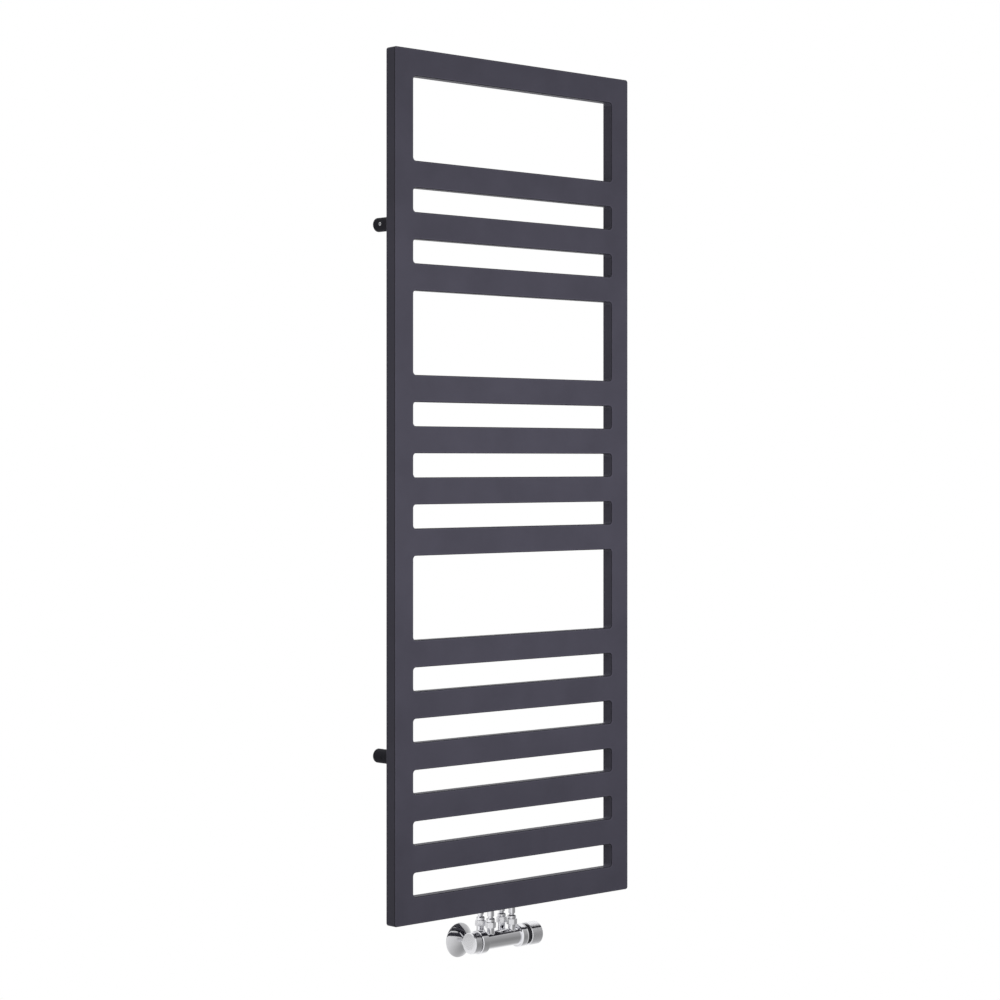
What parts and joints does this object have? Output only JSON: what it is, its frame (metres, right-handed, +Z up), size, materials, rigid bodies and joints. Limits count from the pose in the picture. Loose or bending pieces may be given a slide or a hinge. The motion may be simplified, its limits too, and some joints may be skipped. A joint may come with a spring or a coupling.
{
  "type": "radiator_with_valve",
  "caption": "Flat vertical towel radiator in dark paint on wall stand-offs, with a chrome twin regulating valve, capped at one end and with a knob at the other, under its bottom rail.",
  "frame": {"origin": "centre of the rectangle of the four wall fixings, on the wall plane", "axes": "+Z up; the front faces -Y and the wall is the plane Y = 0; +X to the right seen from the front"},
  "size_m": [0.55, 0.135, 1.549],
  "materials": {
    "frame_paint": "satin",
    "standoff_paint": "satin",
    "steel": "satin",
    "chrome": "polished",
    "brass": "satin",
    "rubber": "matte",
    "black_plastic": "matte"
  },
  "bodies": {
    "radiator": {"left_stile": "frame_paint", "right_stile": "frame_paint", "top_rail": "frame_paint", "bottom_rail": "frame_paint", "bar_01": "frame_paint", "bar_02": "frame_paint", "bar_03": "frame_paint", "bar_04": "frame_paint", "bar_05": "frame_paint", "bar_06": "frame_paint", "bar_07": "frame_paint", "bar_08": "frame_paint", "bar_09": "frame_paint", "bar_10": "frame_paint", "bar_11": "frame_paint", "bar_12": "frame_paint", "corner_welds": "frame_paint", "connection_block": "frame_paint", "standoff_bosses": "frame_paint", "standoff_tubes": "standoff_paint", "wall_bases": "steel", "grub_screws": "steel", "vent_socket": "frame_paint", "vent_plug": "chrome", "front_nipples": "chrome", "rear_nipples": "chrome", "front_union_nuts": "chrome", "rear_union_nuts": "chrome", "front_riser_tubes": "chrome", "rear_riser_tubes": "chrome", "elbows": "chrome", "wall_tails": "chrome", "valve_body": "chrome", "lockshield_insert": "brass", "cap_o_ring": "rubber", "regulating_insert": "brass", "spindle_o_ring": "rubber", "knob_ring": "black_plastic"},
    "rosette": {"rosette": "chrome"},
    "return_rosette": {"return_rosette": "chrome"},
    "cover_cap": {"cover_cap": "chrome"},
    "lockshield_spindle": {"lockshield_spindle": "brass"},
    "lockshield_plug": {"lockshield_plug": "brass"},
    "regulating_spindle": {"regulating_spindle": "steel", "seat_washer": "rubber"},
    "knob": {"knob": "chrome", "knob_index": "black_plastic"},
    "bleed_screw": {"bleed_screw": "brass"}
  },
  "joints": [
    {"name": "knob_turn", "type": "hinge", "parent": "radiator", "child": "knob", "pos_m": [0.07, -0.0785, -0.7764], "axis": [-1, 0, 0], "range_deg": [0, 300]},
    {"name": "disc_slide", "type": "slide", "parent": "radiator", "child": "regulating_spindle", "axis": [-1, 0, 0], "range_m": [0, 0.0034]},
    {"name": "cap_slide", "type": "slide", "parent": "radiator", "child": "cover_cap", "axis": [-1, 0, 0], "range_m": [0, 0.025]},
    {"name": "lockshield_turn", "type": "hinge", "parent": "radiator", "child": "lockshield_spindle", "pos_m": [-0.065, -0.0785, -0.7764], "axis": [1, 0, 0], "range_deg": [0, 864]},
    {"name": "plug_slide", "type": "slide", "parent": "radiator", "child": "lockshield_plug", "axis": [1, 0, 0], "range_m": [0, 0.0036]},
    {"name": "rosette_slide", "type": "slide", "parent": "radiator", "child": "rosette", "axis": [0, -1, 0], "range_m": [0, 0.02]},
    {"name": "return_rosette_slide", "type": "slide", "parent": "radiator", "child": "return_rosette", "axis": [0, -1, 0], "range_m": [0, 0.02]},
    {"name": "bleed_turn", "type": "hinge", "parent": "radiator", "child": "bleed_screw", "pos_m": [0.2545, -0.09, 0.71], "axis": [0, 1, 0], "range_deg": [0, 360]}
  ],
  "couplings": [
    {"joint": "disc_slide", "follows": "knob_turn", "m_per_rad": 0.00064929},
    {"joint": "lockshield_turn", "follows": "plug_slide", "rad_per_m": 4188.4}
  ]
}
